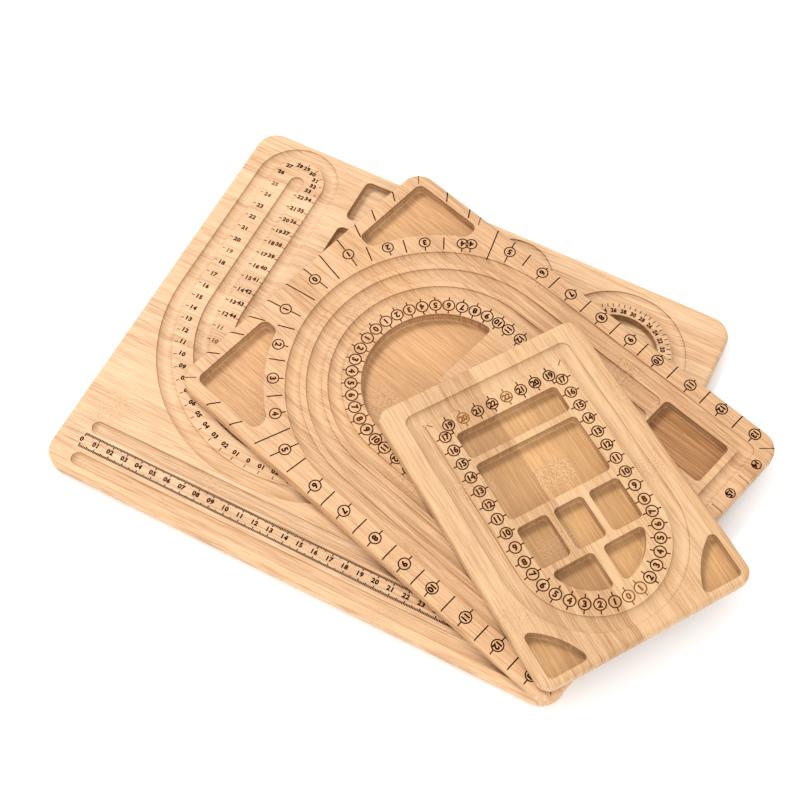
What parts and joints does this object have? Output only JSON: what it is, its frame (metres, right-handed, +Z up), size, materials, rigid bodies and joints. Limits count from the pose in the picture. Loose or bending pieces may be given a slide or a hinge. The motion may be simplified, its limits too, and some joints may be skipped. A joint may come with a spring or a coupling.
{
  "type": "bead design board set",
  "caption": "Bamboo bead design boards of falling size, stacked and fanned, with milled measuring channels, scales and bead trays.",
  "frame": {"origin": "centre of the large board's underside", "axes": "+X along the large board's long side, +Z up"},
  "size_m": [0.4071, 0.2869, 0.0306],
  "materials": {
    "bamboo_large": "satin",
    "bamboo_middle": "satin",
    "bamboo_small": "satin"
  },
  "bodies": {
    "large_board": {"large_stave_01": "bamboo_large", "large_stave_02": "bamboo_large", "large_stave_03": "bamboo_large", "large_stave_04": "bamboo_large", "large_stave_05": "bamboo_large", "large_stave_06": "bamboo_large", "large_stave_07": "bamboo_large", "large_stave_08": "bamboo_large", "large_stave_09": "bamboo_large", "large_stave_10": "bamboo_large", "large_stave_11": "bamboo_large", "large_stave_12": "bamboo_large", "large_stave_13": "bamboo_large"},
    "middle_board": {"middle_stave_01": "bamboo_middle", "middle_stave_02": "bamboo_middle", "middle_stave_03": "bamboo_middle", "middle_stave_04": "bamboo_middle", "middle_stave_05": "bamboo_middle", "middle_stave_06": "bamboo_middle", "middle_stave_07": "bamboo_middle", "middle_stave_08": "bamboo_middle", "middle_stave_09": "bamboo_middle", "middle_stave_10": "bamboo_middle"},
    "small_board": {"small_stave_01": "bamboo_small", "small_stave_02": "bamboo_small", "small_stave_03": "bamboo_small", "small_stave_04": "bamboo_small", "small_stave_05": "bamboo_small", "small_stave_06": "bamboo_small", "small_stave_07": "bamboo_small"}
  },
  "joints": [
    {"name": "middle_board_lift", "type": "slide", "parent": "large_board", "child": "middle_board", "axis": [0, 0, 1], "range_m": [0, 0.08]},
    {"name": "small_board_lift", "type": "slide", "parent": "middle_board", "child": "small_board", "axis": [0, 0, 1], "range_m": [0, 0.08]}
  ]
}
